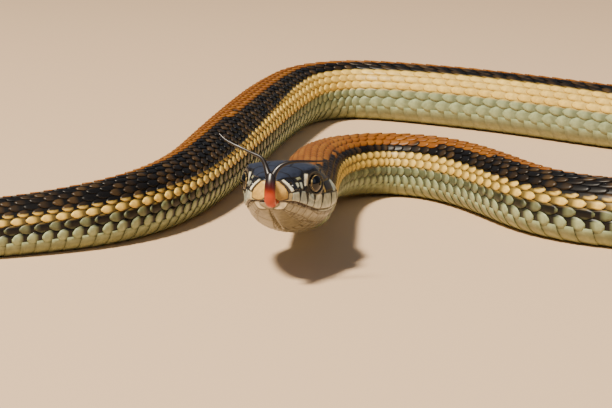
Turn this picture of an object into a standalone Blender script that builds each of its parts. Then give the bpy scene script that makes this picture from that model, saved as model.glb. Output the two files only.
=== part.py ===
"""A plains garter snake at life size, lying in a loose S with the head raised and the tongue out.

The frame has +Z up with the ground at z = 0 under the belly. The head faces -Y and the body
bends out to +X from it. The origin is on the ground, in the middle of the outline seen from
above. Sizes below are millimetres and become metres when a mesh is made.
"""
import math

import bmesh
import bpy
import numpy as np
from mathutils import Matrix, Vector

MM = 0.001
JOINT_GAP = 0.3
MOUTH_GAP = 0.22
EYE_GAP = 0.2

# The spine from behind the head to the tip of the tail: x, y, lift of the belly off the
# ground, and half the body's width.
NECK_ROUTE = (
    (0.2, -42.5, 2.8, 4.5),
    (1.1, -30.0, 2.3, 4.6),
    (4.6, -17.5, 1.3, 4.8),
)
NEAR_ROUTE = (
    (12.0, -10.2, 0.3, 5.0),
    (20.0, -11.7, 0.0, 5.1),
    (26.3, -19.0, 0.0, 5.1),
    (30.9, -28.5, 0.0, 5.05),
    (36.2, -39.7, 0.0, 5.0),
    (45.0, -47.5, 0.0, 5.0),
)
RIGHT_TURN_ROUTE = (
    (60.0, -50.5, 0.0, 5.15),
    (77.0, -44.0, 0.0, 5.3),
    (88.0, -29.0, 0.0, 5.45),
    (91.0, -9.0, 0.0, 5.6),
    (84.0, 10.5, 0.0, 5.75),
    (70.5, 26.0, 0.0, 5.85),
)
FAR_ROUTE = (
    (56.0, 39.5, 0.0, 5.95),
    (43.5, 51.5, 0.0, 6.0),
    (31.0, 61.5, 0.0, 6.05),
    (19.5, 69.0, 0.0, 6.05),
    (9.0, 72.0, 0.0, 6.05),
    (0.3, 66.3, 0.0, 6.05),
)
LEFT_BEND_ROUTE = (
    (-4.7, 53.2, 0.0, 6.05),
    (-8.5, 35.2, 0.0, 6.0),
    (-12.3, 12.2, 0.0, 5.85),
    (-15.8, -8.8, 0.0, 5.55),
    (-20.4, -29.5, 0.0, 5.1),
    (-28.6, -44.7, 0.0, 4.75),
    (-41.0, -52.7, 0.0, 4.25),
)
TAIL_ROUTE = (
    (-56.0, -57.0, 0.0, 3.95),
    (-73.0, -56.0, 0.0, 3.65),
    (-87.0, -47.5, 0.0, 3.3),
    (-94.0, -32.0, 0.0, 2.9),
    (-92.0, -14.0, 0.0, 2.5),
    (-82.5, 1.5, 0.0, 2.1),
    (-75.0, 17.5, 0.0, 1.75),
    (-75.5, 35.0, 0.0, 1.35),
    (-83.5, 50.0, 0.0, 0.95),
    (-94.5, 61.0, 0.0, 0.35),
)
ROUTE = NECK_ROUTE + NEAR_ROUTE + RIGHT_TURN_ROUTE + FAR_ROUTE + LEFT_BEND_ROUTE + TAIL_ROUTE

# A section of the body: broad flat belly, round flanks and back, in parts of the half width.
BACK_HEIGHT = 1.04
BELLY_DEPTH = 0.96
BELLY_SINK = 0.02
FLANK_FULLNESS = 0.82

# The broad plates under the belly. Each one's rear edge stands out at the sides of the belly,
# while the middle, which the snake lies on, stays flat. The band is in degrees below the level
# of the spine, and plates on a thinner body rise less.
PLATE_RELIEF = 0.2
PLATE_STEP = 0.35
PLATE_BAND = (18.0, 80.0)
PLATE_FULL_WIDTH = 5.0

# The lengths that the body is cut into: name, distance along the spine where it ends, the
# spacing of its belly plates, sections to a plate, and points round a section.
LENGTHS = (
    ("neck", 36.0, 3.6, 2, 20),
    ("trunk_1", 68.0, 3.6, 3, 20),
    ("trunk_2", 108.0, 3.8, 2, 20),
    ("trunk_3", 148.0, 3.8, 2, 20),
    ("trunk_4", 188.0, 3.8, 2, 20),
    ("trunk_5", 228.0, 3.8, 2, 20),
    ("trunk_6", 268.0, 3.8, 2, 20),
    ("trunk_7", 308.0, 3.8, 3, 20),
    ("trunk_8", 350.0, 3.8, 2, 20),
    ("trunk_9", 390.0, 3.8, 2, 20),
    ("trunk_10", 430.0, 3.6, 2, 20),
    ("trunk_11", 472.0, 3.6, 2, 20),
    ("tail_1", 520.0, 4.2, 2, 16),
    ("tail_2", 568.0, 4.2, 2, 14),
    ("tail_3", 1000.0, 4.2, 2, 12),
)

# The head's own frame: u runs back from the tip of the snout, y to the snake's left, z up from
# the line through both eyes.
HEAD_YAW = math.radians(11.0)
HEAD_PITCH = math.radians(12.5)
EYE_LINE = (-3.4, -66.5, 13.2)
EYE_BACK = 7.6
NAPE_BACK = 22.0
NAPE_HEIGHT = -2.1
NAPE_HALF_WIDTH = 4.6
NAPE_LEAD = 6.0
NAPE_BLEND = 8.0

# Profiles of the head as (u, value) pairs.
CHEEK_HALF_WIDTH = (
    (0.0, 0.9), (0.5, 2.0), (1.5, 2.9), (3.0, 3.6), (5.0, 4.3), (7.6, 4.95),
    (10.0, 5.5), (13.0, 6.2), (16.0, 6.45), (19.0, 5.5), (22.0, 4.6),
)
BROW_HALF_WIDTH = (
    (0.0, 0.5), (0.5, 1.3), (1.5, 1.9), (3.0, 2.5), (5.0, 3.25), (6.2, 4.1), (7.6, 4.55),
    (9.0, 4.5), (10.2, 4.25), (13.0, 4.5), (16.0, 4.6), (19.0, 4.0), (22.0, 3.3),
)
BROW_HEIGHT = (
    (0.0, -1.3), (0.5, -0.6), (1.5, 0.05), (3.0, 0.65), (5.0, 1.25), (6.2, 1.75), (7.6, 2.0),
    (9.0, 1.95), (10.2, 1.75), (13.0, 1.6), (16.0, 1.3), (19.0, 1.15), (22.0, 1.3),
)
CROWN_HEIGHT = (
    (0.0, -1.0), (0.5, -0.1), (1.5, 0.6), (3.0, 1.25), (5.0, 1.9), (7.6, 2.55),
    (10.0, 2.85), (13.0, 3.0), (16.0, 2.95), (19.0, 2.75), (22.0, 2.55),
)
LIP_HEIGHT = (
    (0.0, -2.9), (2.0, -2.85), (5.0, -3.25), (8.0, -3.65), (10.5, -3.6), (13.0, -3.3),
    (16.3, -2.4), (22.0, -2.2),
)
JAW_HALF_WIDTH = (
    (0.0, 0.5), (0.5, 1.3), (1.5, 2.2), (3.0, 2.9), (5.0, 3.55), (7.6, 4.2),
    (10.0, 4.8), (13.0, 5.45), (16.0, 5.8), (19.0, 5.2), (22.0, 4.4),
)
CHIN_HEIGHT = (
    (0.0, -3.1), (0.5, -3.5), (1.5, -4.1), (3.0, -4.75), (5.0, -5.4), (7.6, -6.1),
    (10.0, -6.55), (13.0, -6.85), (16.0, -6.95), (19.0, -6.8), (22.0, -6.5),
)
HEAD_STATIONS = (
    0.0, 0.22, 0.6, 1.2, 2.0, 3.0, 4.1, 5.2, 6.3, 7.4, 8.6, 10.0, 11.6, 13.2, 14.8, 16.4,
    18.2, 20.1, 21.85,
)

EYE_RADIUS = 1.58
EYE_HALF_SPACING = 3.8
EYE_HEIGHT = -0.1
NOSTRIL_BACK = 1.75
NOSTRIL_HALF_SPACING = 2.45
NOSTRIL_HEIGHT = -0.35
NOSTRIL_RADIUS = 0.34
NOSTRIL_DEPTH = 0.8
NOSTRIL_RAKE = 0.7

# The mouth's corner, and the hinge face that slants back and down from it.
MOUTH_CORNER = 16.3
HINGE_SLANT = 1.4
HINGE_SLANT_DROP = 3.0
HINGE_DROP = 9.0
JAW_TIP = 0.55
JAW_ROOM_REACH = 4.0
HEAD_ROOM = 10.0
CHIN_GROOVE_WIDTH = 0.4
CHIN_GROOVE_DEPTH = 0.35
CHIN_GROOVE_SPAN = (1.6, 9.5)

# The tongue as (u, y, z) in the head's frame, with the radius at each point.
TONGUE_SIDE = 0.65
TONGUE_ROOT = (1.9, TONGUE_SIDE, -2.75)
TONGUE_STEM = (
    (*TONGUE_ROOT, 0.55),
    (0.2, TONGUE_SIDE, -2.9, 0.62),
    (-1.2, TONGUE_SIDE, -3.15, 0.7),
    (-2.1, TONGUE_SIDE, -2.9, 0.75),
    (-2.5, TONGUE_SIDE, -1.9, 0.75),
    (-2.5, TONGUE_SIDE, -0.6, 0.72),
    (-2.1, TONGUE_SIDE, 0.6, 0.65),
)
RIGHT_TINE = (
    (-2.3, 0.5, 0.1, 0.5),
    (-1.9, -0.1, 1.5, 0.38),
    (-1.7, -0.8, 2.7, 0.34),
    (-1.6, -2.0, 3.3, 0.32),
    (-1.4, -3.9, 4.1, 0.3),
    (-0.9, -5.9, 5.0, 0.27),
    (-0.5, -7.0, 5.9, 0.2),
)
LEFT_TINE = (
    (-2.3, 0.8, 0.1, 0.5),
    (-2.1, 1.3, 1.2, 0.38),
    (-1.7, 2.3, 2.1, 0.34),
    (-1.1, 4.0, 2.5, 0.32),
    (-0.4, 6.0, 2.6, 0.28),
    (0.2, 8.0, 2.8, 0.2),
)
TONGUE_CHANNEL_RADIUS = 0.9
TONGUE_CHANNEL_REACH = 2.0
TONGUE_FLATNESS = 0.8


def clear_scene():
    """Remove whatever the file holds."""
    for item in list(bpy.data.objects):
        bpy.data.objects.remove(item, do_unlink=True)


def make_collection(name):
    """A collection linked to the scene."""
    collection = bpy.data.collections.new(name)
    bpy.context.scene.collection.children.link(collection)
    return collection


def make_material(name, colour, roughness):
    """A Principled material with one colour."""
    material = bpy.data.materials.new(name)
    material.use_nodes = True
    shader = material.node_tree.nodes["Principled BSDF"]
    shader.inputs["Base Color"].default_value = (*colour, 1.0)
    shader.inputs["Roughness"].default_value = roughness
    shader.inputs["Metallic"].default_value = 0.0
    material.diffuse_color = (*colour, 1.0)
    return material


def smooth_line(points):
    """A natural cubic spline through points, as a function of the parameter and its knots."""
    points = np.array(points, dtype=float)
    steps = np.linalg.norm(np.diff(points[:, :3], axis=0), axis=1) ** 0.5
    knots = np.concatenate([[0.0], np.cumsum(steps)])
    count = len(points)
    system = np.zeros((count, count))
    right = np.zeros_like(points)
    system[0, 0] = 1.0
    system[-1, -1] = 1.0
    for i in range(1, count - 1):
        before = steps[i - 1]
        after = steps[i]
        system[i, i - 1] = before
        system[i, i] = 2.0 * (before + after)
        system[i, i + 1] = after
        slope_after = (points[i + 1] - points[i]) / after
        slope_before = (points[i] - points[i - 1]) / before
        right[i] = 6.0 * (slope_after - slope_before)
    bend = np.linalg.solve(system, right)

    def value(t):
        i = int(min(max(np.searchsorted(knots, t) - 1, 0), count - 2))
        h = steps[i]
        a = (knots[i + 1] - t) / h
        b = (t - knots[i]) / h
        curve = (a ** 3 - a) * bend[i] + (b ** 3 - b) * bend[i + 1]
        return a * points[i] + b * points[i + 1] + curve * h * h / 6.0

    return value, knots


def profile_value(pairs, u):
    """The value of a head profile at u, by a smooth curve through its pairs."""
    places = [pair[0] for pair in pairs]
    values = [pair[1] for pair in pairs]
    u = min(max(u, places[0]), places[-1])
    i = 0
    while i < len(places) - 2 and u > places[i + 1]:
        i += 1
    span = places[i + 1] - places[i]
    t = (u - places[i]) / span
    slope = (values[i + 1] - values[i]) / span
    start_slope = slope
    end_slope = slope
    if i > 0:
        start_slope = (values[i + 1] - values[i - 1]) / (places[i + 1] - places[i - 1])
    if i < len(places) - 2:
        end_slope = (values[i + 2] - values[i]) / (places[i + 2] - places[i])
    value = (2 * t ** 3 - 3 * t ** 2 + 1) * values[i]
    value += (t ** 3 - 2 * t ** 2 + t) * span * start_slope
    value += (3 * t ** 2 - 2 * t ** 3) * values[i + 1]
    value += (t ** 3 - t ** 2) * span * end_slope
    return value


class Spine:
    """The body's centre line, measured by the distance along it."""

    SAMPLES = 4000

    def __init__(self, route):
        centred = []
        for u in (NAPE_BACK - NAPE_LEAD, NAPE_BACK):
            centred.append((*head_place(u, 0.0, NAPE_HEIGHT), NAPE_HALF_WIDTH))
        for x, y, lift, half in route:
            centred.append((x, y, lift + BELLY_DEPTH * half - BELLY_SINK, half))
        self.value, knots = smooth_line(centred)
        self.times = np.linspace(0.0, knots[-1], self.SAMPLES)
        places = np.array([self.value(t) for t in self.times])
        steps = np.linalg.norm(np.diff(places[:, :3], axis=0), axis=1)
        travelled = np.concatenate([[0.0], np.cumsum(steps)])
        self.distances = travelled - np.interp(knots[1], self.times, travelled)
        self.length = self.distances[-1]

    def at(self, distance):
        """Centre and half width at a distance along the spine."""
        t = np.interp(distance, self.distances, self.times)
        place = self.value(t)
        return Vector(place[:3]), float(place[3])

    def frame(self, distance):
        """Centre, direction, left side, up and half width at a distance along the spine."""
        reach = 0.4
        centre, half = self.at(distance)
        ahead, _ = self.at(min(distance + reach, self.length))
        behind, _ = self.at(distance - reach)
        along = (ahead - behind).normalized()
        if distance < NAPE_BLEND:
            backward = -head_axes()[0]
            along = backward.lerp(along, max(distance, 0.0) / NAPE_BLEND).normalized()
        side = Vector((0.0, 0.0, 1.0)).cross(along).normalized()
        up = along.cross(side).normalized()
        return centre, along, side, up, half


def body_section(spine, distance, points, relief):
    """One ring of points round the body, with the edges of a belly plate raised by relief."""
    centre, _, side, up, half = spine.frame(distance)
    ring = []
    for k in range(points):
        angle = 2.0 * math.pi * (k + 0.5) / points
        across = math.cos(angle)
        height = math.sin(angle)
        if height > 0.0:
            height = height * BACK_HEIGHT
        else:
            across = math.copysign(abs(across) ** FLANK_FULLNESS, across)
            height = -min(abs(height) ** FLANK_FULLNESS, BELLY_DEPTH)
            slope = math.degrees(math.atan2(abs(math.sin(angle)), abs(math.cos(angle))))
            if PLATE_BAND[0] < slope < PLATE_BAND[1]:
                across *= 1.0 + relief / half
                height *= 1.0 + relief / half
        point = centre + side * (across * half) + up * (height * half)
        point.z = max(point.z, 0.0)
        ring.append(point)
    return ring


def head_axes():
    """The head's frame as forward, left and up directions."""
    forward = Vector((
        -math.sin(HEAD_YAW) * math.cos(HEAD_PITCH),
        -math.cos(HEAD_YAW) * math.cos(HEAD_PITCH),
        math.sin(HEAD_PITCH),
    ))
    left = Vector((0.0, 0.0, 1.0)).cross(forward).normalized()
    up = forward.cross(left).normalized()
    return forward, left, up


def head_place(u, y, z):
    """A point of the head's frame, in the snake's frame."""
    forward, left, up = head_axes()
    return Vector(EYE_LINE) + forward * (EYE_BACK - u) + left * y + up * z


def head_matrix():
    """The matrix that takes (u, y, z) in millimetres to the snake's frame in metres."""
    forward, left, up = head_axes()
    origin = head_place(0.0, 0.0, 0.0)
    rows = []
    for axis in range(3):
        rows.append((-forward[axis], left[axis], up[axis], origin[axis]))
    rows.append((0.0, 0.0, 0.0, 1.0))
    return Matrix.Scale(MM, 4) @ Matrix(rows)


def head_half_section(u):
    """Half a ring of the head at u, from the crown round the left side to the chin."""
    cheek = profile_value(CHEEK_HALF_WIDTH, u)
    brow = profile_value(BROW_HALF_WIDTH, u)
    brow_z = profile_value(BROW_HEIGHT, u)
    crown = profile_value(CROWN_HEIGHT, u)
    lip = profile_value(LIP_HEIGHT, u)
    jaw = profile_value(JAW_HALF_WIDTH, u)
    chin = profile_value(CHIN_HEIGHT, u)
    side_drop = brow_z - lip
    jaw_drop = lip - chin
    return (
        (0.0, crown),
        (0.3 * brow, crown - 0.02 * (crown - brow_z)),
        (0.62 * brow, crown - 0.18 * (crown - brow_z)),
        (0.87 * brow, crown - 0.5 * (crown - brow_z)),
        (brow, brow_z),
        (0.5 * (brow + cheek), brow_z - 0.22 * side_drop),
        (0.97 * cheek, brow_z - 0.5 * side_drop),
        (cheek, brow_z - 0.78 * side_drop),
        (0.98 * cheek, lip + 0.06 * side_drop),
        (jaw, lip - 0.16 * jaw_drop),
        (0.9 * jaw, lip - 0.4 * jaw_drop),
        (0.73 * jaw, lip - 0.66 * jaw_drop),
        (0.5 * jaw, lip - 0.86 * jaw_drop),
        (0.26 * jaw, chin + 0.03 * jaw_drop),
        (0.0, chin),
    )


def head_section(u):
    """One ring of points round the head, in the head's frame."""
    half = head_half_section(u)
    left = [Vector((u, y, z)) for y, z in half]
    right = [Vector((u, -y, z)) for y, z in reversed(half[1:-1])]
    return left + right


def loft(name, rings, matrix):
    """A closed mesh object through rings with equal counts of points, capped at both ends."""
    shape = bmesh.new()
    loops = []
    for ring in rings:
        loops.append([shape.verts.new(matrix @ point) for point in ring])
    count = len(loops[0])
    for first, second in zip(loops, loops[1:]):
        for k in range(count):
            following = (k + 1) % count
            shape.faces.new((first[k], first[following], second[following], second[k]))
    shape.faces.new(list(reversed(loops[0])))
    shape.faces.new(loops[-1])
    bmesh.ops.recalc_face_normals(shape, faces=shape.faces)
    return mesh_object(name, shape)


def mesh_object(name, shape):
    """An object, with smooth faces, from a bmesh."""
    mesh = bpy.data.meshes.new(name)
    shape.to_mesh(mesh)
    shape.free()
    mesh.shade_smooth()
    return bpy.data.objects.new(name, mesh)


def place_part(item, material):
    """Give a sub-part its material and put it with the others."""
    item.data.materials.clear()
    item.data.materials.append(material)
    PARTS.objects.link(item)
    return item


def place_cutter(item):
    """Keep a cutting shape apart from the sub-parts."""
    item.hide_render = True
    item.display_type = "WIRE"
    CUTTERS.objects.link(item)
    return item


def cut(item, cutter, operation):
    """Boolean an object with a cutter."""
    modifier = item.modifiers.new(operation.lower(), "BOOLEAN")
    modifier.operation = operation
    modifier.object = cutter
    modifier.solver = "EXACT"


def side_prism(name, outline, half_width):
    """A prism across the head from an outline of (u, z) points."""
    shape = bmesh.new()
    corners = [shape.verts.new((u, -half_width, z)) for u, z in outline]
    face = shape.faces.new(corners)
    extruded = bmesh.ops.extrude_face_region(shape, geom=[face])
    moved = [item for item in extruded["geom"] if isinstance(item, bmesh.types.BMVert)]
    bmesh.ops.translate(shape, verts=moved, vec=(0.0, 2.0 * half_width, 0.0))
    bmesh.ops.transform(shape, matrix=head_matrix(), verts=shape.verts)
    bmesh.ops.recalc_face_normals(shape, faces=shape.faces)
    return mesh_object(name, shape)


def jaw_region(name, grow):
    """The room of the lower jaw: all below the lips and in front of the hinge, grown all round."""
    corner = MOUTH_CORNER + grow
    outline = [(-JAW_ROOM_REACH, profile_value(LIP_HEIGHT, 0.0) + grow)]
    for step in range(17):
        u = corner * step / 16.0
        outline.append((u, profile_value(LIP_HEIGHT, u) + grow))
    corner_z = outline[-1][1]
    outline.append((corner + HINGE_SLANT, corner_z - HINGE_SLANT_DROP))
    outline.append((corner + HINGE_SLANT, corner_z - HINGE_DROP))
    outline.append((-JAW_ROOM_REACH, corner_z - HINGE_DROP))
    return side_prism(name, outline, HEAD_ROOM)


def ball(name, centre, radius, segments, rings):
    """A ball in the head's frame."""
    shape = bmesh.new()
    bmesh.ops.create_uvsphere(shape, u_segments=segments, v_segments=rings, radius=radius)
    turn = Matrix.Rotation(math.radians(90.0), 4, "X")
    shift = Matrix.Translation(centre)
    bmesh.ops.transform(shape, matrix=head_matrix() @ shift @ turn, verts=shape.verts)
    bmesh.ops.recalc_face_normals(shape, faces=shape.faces)
    return mesh_object(name, shape)


def rod(name, start, end, radius, segments, flatness):
    """A straight rod between two points of the head's frame, flattened in height."""
    start = Vector(start)
    end = Vector(end)
    shape = bmesh.new()
    bmesh.ops.create_cone(
        shape, cap_ends=True, segments=segments, radius1=radius, radius2=radius,
        depth=(end - start).length,
    )
    turn = (end - start).to_track_quat("Z", "Y").to_matrix().to_4x4()
    middle = Matrix.Translation((start + end) / 2.0)
    squash = Matrix.Diagonal((1.0, 1.0, flatness, 1.0))
    matrix = head_matrix() @ middle @ squash @ turn
    bmesh.ops.transform(shape, matrix=matrix, verts=shape.verts)
    bmesh.ops.recalc_face_normals(shape, faces=shape.faces)
    return mesh_object(name, shape)


def soft_tube(name, points, sides, steps):
    """A round tapering tube through (u, y, z, radius) points of the head's frame."""
    value, knots = smooth_line(points)
    times = np.linspace(0.0, knots[-1], steps)
    places = [value(t) for t in times]
    across = Vector((0.0, 1.0, 0.0))
    rings = []
    for i, place in enumerate(places):
        ahead = places[min(i + 1, steps - 1)]
        behind = places[max(i - 1, 0)]
        along = Vector(ahead[:3] - behind[:3]).normalized()
        across = (across - along * across.dot(along)).normalized()
        other = along.cross(across)
        ring = []
        for k in range(sides):
            angle = 2.0 * math.pi * k / sides
            point = Vector(place[:3])
            point += across * (math.cos(angle) * place[3])
            point += other * (math.sin(angle) * place[3] * TONGUE_FLATNESS)
            ring.append(point)
        rings.append(ring)
    return loft(name, rings, head_matrix())


def make_head():
    """The head from snout to nape, open where the lower jaw, eyes, nostrils and tongue go."""
    item = place_part(loft("head", [head_section(u) for u in HEAD_STATIONS], head_matrix()), SKIN)
    cut(item, place_cutter(jaw_region("mouth_room", MOUTH_GAP / 2.0)), "DIFFERENCE")
    for side, mark in ((1.0, "left"), (-1.0, "right")):
        centre = (EYE_BACK, side * EYE_HALF_SPACING, EYE_HEIGHT)
        socket = ball("socket_" + mark, centre, EYE_RADIUS + EYE_GAP, 16, 10)
        cut(item, place_cutter(socket), "DIFFERENCE")
        outer = side * (NOSTRIL_HALF_SPACING + NOSTRIL_DEPTH)
        inner = side * (NOSTRIL_HALF_SPACING - NOSTRIL_DEPTH)
        opening = (NOSTRIL_BACK - NOSTRIL_RAKE, outer, NOSTRIL_HEIGHT)
        depth = (NOSTRIL_BACK + NOSTRIL_RAKE, inner, NOSTRIL_HEIGHT)
        nostril = rod("nostril_" + mark, opening, depth, NOSTRIL_RADIUS, 10, 1.0)
        cut(item, place_cutter(nostril), "DIFFERENCE")
    return item


def make_lower_jaw():
    """The lower jaw from chin to hinge, with the groove under the chin."""
    stations = [u for u in HEAD_STATIONS if u > JAW_TIP]
    item = place_part(loft("lower_jaw", [head_section(u) for u in stations], head_matrix()), SKIN)
    cut(item, place_cutter(jaw_region("jaw_room", -MOUTH_GAP / 2.0)), "INTERSECT")
    start, end = CHIN_GROOVE_SPAN
    floor = []
    roof = []
    for step in range(7):
        u = start + (end - start) * step / 6.0
        bow = math.sin(math.pi * step / 6.0)
        chin = profile_value(CHIN_HEIGHT, u)
        floor.append((u, chin - 0.5))
        roof.append((u, chin - 0.1 + (CHIN_GROOVE_DEPTH + 0.1) * bow))
    groove = side_prism("chin_groove", floor + roof[::-1], CHIN_GROOVE_WIDTH / 2.0)
    cut(item, place_cutter(groove), "DIFFERENCE")
    return item


def cut_tongue_channel(items):
    """The notch in both lips that the tongue passes through."""
    u, y, z = TONGUE_ROOT
    channel = rod(
        "tongue_channel", (u + 0.5, y, z), (-TONGUE_CHANNEL_REACH, y, z - 0.1),
        TONGUE_CHANNEL_RADIUS, 14, TONGUE_FLATNESS,
    )
    place_cutter(channel)
    for item in items:
        cut(item, channel, "DIFFERENCE")


def make_eyes():
    """Two eyes, seated in their sockets."""
    for side, mark in ((1.0, "left"), (-1.0, "right")):
        centre = (EYE_BACK, side * EYE_HALF_SPACING, EYE_HEIGHT)
        eye = ball("eye_" + mark, centre, EYE_RADIUS, 16, 10)
        place_part(eye, EYE)


def make_tongue():
    """The forked tongue, curled up in front of the snout."""
    item = place_part(soft_tube("tongue", TONGUE_STEM, 12, 16), TONGUE)
    for name, route in (("right_tine", RIGHT_TINE), ("left_tine", LEFT_TINE)):
        tine = place_cutter(soft_tube(name, route, 8, 15))
        cut(item, tine, "UNION")
    return item


def plate_rings(spine, start, stop, pitch, rings_per_plate, points):
    """Rings from start to stop, in plates that rise to the rear and end in a step."""
    plates = max(round((stop - start) / pitch), 1)
    length = (stop - start) / plates
    rings = []
    for plate in range(plates):
        front = start + plate * length
        if plate > 0:
            front += PLATE_STEP
        rear = start + (plate + 1) * length
        for step in range(rings_per_plate):
            share = step / (rings_per_plate - 1)
            distance = front + (rear - front) * share
            _, half = spine.at(distance)
            relief = PLATE_RELIEF * share * min(half / PLATE_FULL_WIDTH, 1.0)
            rings.append(body_section(spine, distance, points, relief))
    return rings


def make_lengths(spine):
    """The neck, trunk and tail, one object for each length."""
    start = JOINT_GAP / 2.0
    for name, end, pitch, rings_per_plate, points in LENGTHS:
        stop = min(end - JOINT_GAP / 2.0, spine.length)
        rings = plate_rings(spine, start, stop, pitch, rings_per_plate, points)
        place_part(loft(name, rings, Matrix.Scale(MM, 4)), SKIN)
        start = stop + JOINT_GAP


clear_scene()
PARTS = make_collection("garter_snake")
CUTTERS = make_collection("cutters")
SKIN = make_material("scaled_skin", (0.2, 0.19, 0.12), 0.45)
EYE = make_material("eye", (0.02, 0.02, 0.02), 0.1)
TONGUE = make_material("tongue_flesh", (0.5, 0.05, 0.02), 0.35)

make_lengths(Spine(ROUTE))
HEAD = make_head()
LOWER_JAW = make_lower_jaw()
cut_tongue_channel((HEAD, LOWER_JAW))
make_eyes()
make_tongue()
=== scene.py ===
"""A plains garter snake at life size, dressed with skin, scales, head shields, eyes and tongue.

Along the body, d is the distance in millimetres back from the tip of the snout. Round the body,
t runs from 0 on the middle of the back to +1 on the middle of the belly by the snake's left side,
and to -1 by its right. Sizes are millimetres until a mesh is made.
"""

import math

import bmesh
import bpy
import numpy as np
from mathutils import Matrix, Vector


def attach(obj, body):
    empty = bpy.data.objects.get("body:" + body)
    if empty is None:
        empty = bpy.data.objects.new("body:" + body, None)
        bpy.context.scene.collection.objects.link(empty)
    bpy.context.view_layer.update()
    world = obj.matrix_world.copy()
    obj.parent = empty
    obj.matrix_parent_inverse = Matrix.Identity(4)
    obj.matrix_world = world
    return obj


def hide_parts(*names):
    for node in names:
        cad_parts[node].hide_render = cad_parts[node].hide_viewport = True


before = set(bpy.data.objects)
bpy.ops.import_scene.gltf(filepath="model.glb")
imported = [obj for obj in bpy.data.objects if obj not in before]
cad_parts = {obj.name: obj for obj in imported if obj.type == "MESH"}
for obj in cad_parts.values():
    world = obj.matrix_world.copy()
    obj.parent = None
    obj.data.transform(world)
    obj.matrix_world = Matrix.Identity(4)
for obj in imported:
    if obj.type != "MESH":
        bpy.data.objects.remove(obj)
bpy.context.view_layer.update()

MM = 0.001
RNG = np.random.default_rng(7)

# The course of the body, as in the part: x, y, lift of the belly, half the width.
NECK_ROUTE = (
    (0.2, -42.5, 2.8, 4.5), (1.1, -30, 2.3, 4.6), (4.6, -17.5, 1.3, 4.8),
)
NEAR_ROUTE = (
    (12, -10.2, 0.3, 5), (20, -11.7, 0, 5.1), (26.3, -19, 0, 5.1), (30.9, -28.5, 0, 5.05),
    (36.2, -39.7, 0, 5), (45, -47.5, 0, 5),
)
RIGHT_TURN_ROUTE = (
    (60, -50.5, 0, 5.15), (77, -44, 0, 5.3), (88, -29, 0, 5.45), (91, -9, 0, 5.6),
    (84, 10.5, 0, 5.75), (70.5, 26, 0, 5.85),
)
FAR_ROUTE = (
    (56, 39.5, 0, 5.95), (43.5, 51.5, 0, 6), (31, 61.5, 0, 6.05), (19.5, 69, 0, 6.05),
    (9, 72, 0, 6.05), (0.3, 66.3, 0, 6.05),
)
LEFT_BEND_ROUTE = (
    (-4.7, 53.2, 0, 6.05), (-8.5, 35.2, 0, 6), (-12.3, 12.2, 0, 5.85), (-15.8, -8.8, 0, 5.55),
    (-20.4, -29.5, 0, 5.1), (-28.6, -44.7, 0, 4.75), (-41, -52.7, 0, 4.25),
)
TAIL_ROUTE = (
    (-56, -57, 0, 3.95), (-73, -56, 0, 3.65), (-87, -47.5, 0, 3.3), (-94, -32, 0, 2.9),
    (-92, -14, 0, 2.5), (-82.5, 1.5, 0, 2.1), (-75, 17.5, 0, 1.75), (-75.5, 35, 0, 1.35),
    (-83.5, 50, 0, 0.95), (-94.5, 61, 0, 0.35),
)
ROUTE = NECK_ROUTE + NEAR_ROUTE + RIGHT_TURN_ROUTE + FAR_ROUTE + LEFT_BEND_ROUTE + TAIL_ROUTE

BACK_HEIGHT = 1.04
BELLY_DEPTH = 0.96
BELLY_SINK = 0.02
FLANK_FULLNESS = 0.82

# The head's own frame: u back from the snout, y to the left, z up from the line of the eyes.
HEAD_YAW = math.radians(11.0)
HEAD_PITCH = math.radians(12.5)
EYE_LINE = np.array((-3.4, -66.5, 13.2))
EYE_BACK = 7.6
NAPE_BACK = 22.0
NAPE_HEIGHT = -2.1
NAPE_HALF_WIDTH = 4.6
NAPE_LEAD = 6.0
NAPE_BLEND = 8.0

CHEEK_HALF_WIDTH = (
    (0, 0.9), (0.5, 2), (1.5, 2.9), (3, 3.6), (5, 4.3), (7.6, 4.95),
    (10, 5.5), (13, 6.2), (16, 6.45), (19, 5.5), (22, 4.6),
)
BROW_HALF_WIDTH = (
    (0, 0.5), (0.5, 1.3), (1.5, 1.9), (3, 2.5), (5, 3.25), (6.2, 4.1), (7.6, 4.55),
    (9, 4.5), (10.2, 4.25), (13, 4.5), (16, 4.6), (19, 4), (22, 3.3),
)
BROW_HEIGHT = (
    (0, -1.3), (0.5, -0.6), (1.5, 0.05), (3, 0.65), (5, 1.25), (6.2, 1.75), (7.6, 2),
    (9, 1.95), (10.2, 1.75), (13, 1.6), (16, 1.3), (19, 1.15), (22, 1.3),
)
CROWN_HEIGHT = (
    (0, -1), (0.5, -0.1), (1.5, 0.6), (3, 1.25), (5, 1.9), (7.6, 2.55),
    (10, 2.85), (13, 3), (16, 2.95), (19, 2.75), (22, 2.55),
)
LIP_HEIGHT = (
    (0, -2.9), (2, -2.85), (5, -3.25), (8, -3.65), (10.5, -3.6), (13, -3.3),
    (16.3, -2.4), (22, -2.2),
)
JAW_HALF_WIDTH = (
    (0, 0.5), (0.5, 1.3), (1.5, 2.2), (3, 2.9), (5, 3.55), (7.6, 4.2),
    (10, 4.8), (13, 5.45), (16, 5.8), (19, 5.2), (22, 4.4),
)
CHIN_HEIGHT = (
    (0, -3.1), (0.5, -3.5), (1.5, -4.1), (3, -4.75), (5, -5.4), (7.6, -6.1),
    (10, -6.55), (13, -6.85), (16, -6.95), (19, -6.8), (22, -6.5),
)

EYE_RADIUS = 1.58
EYE_HALF_SPACING = 3.8
EYE_HEIGHT = -0.1
EYE_OPENING = 1.26

# How far the middle of the back leans to the snake's left of straight up, in degrees.
ROLL = (
    (0, 0), (30, 0), (52, -12), (72, -20), (130, -27), (160, -22),
    (200, 0), (232, 24), (282, 28), (322, 22), (362, 18), (422, 22),
    (462, 24), (500, 10), (545, 0), (640, 0),
)
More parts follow.
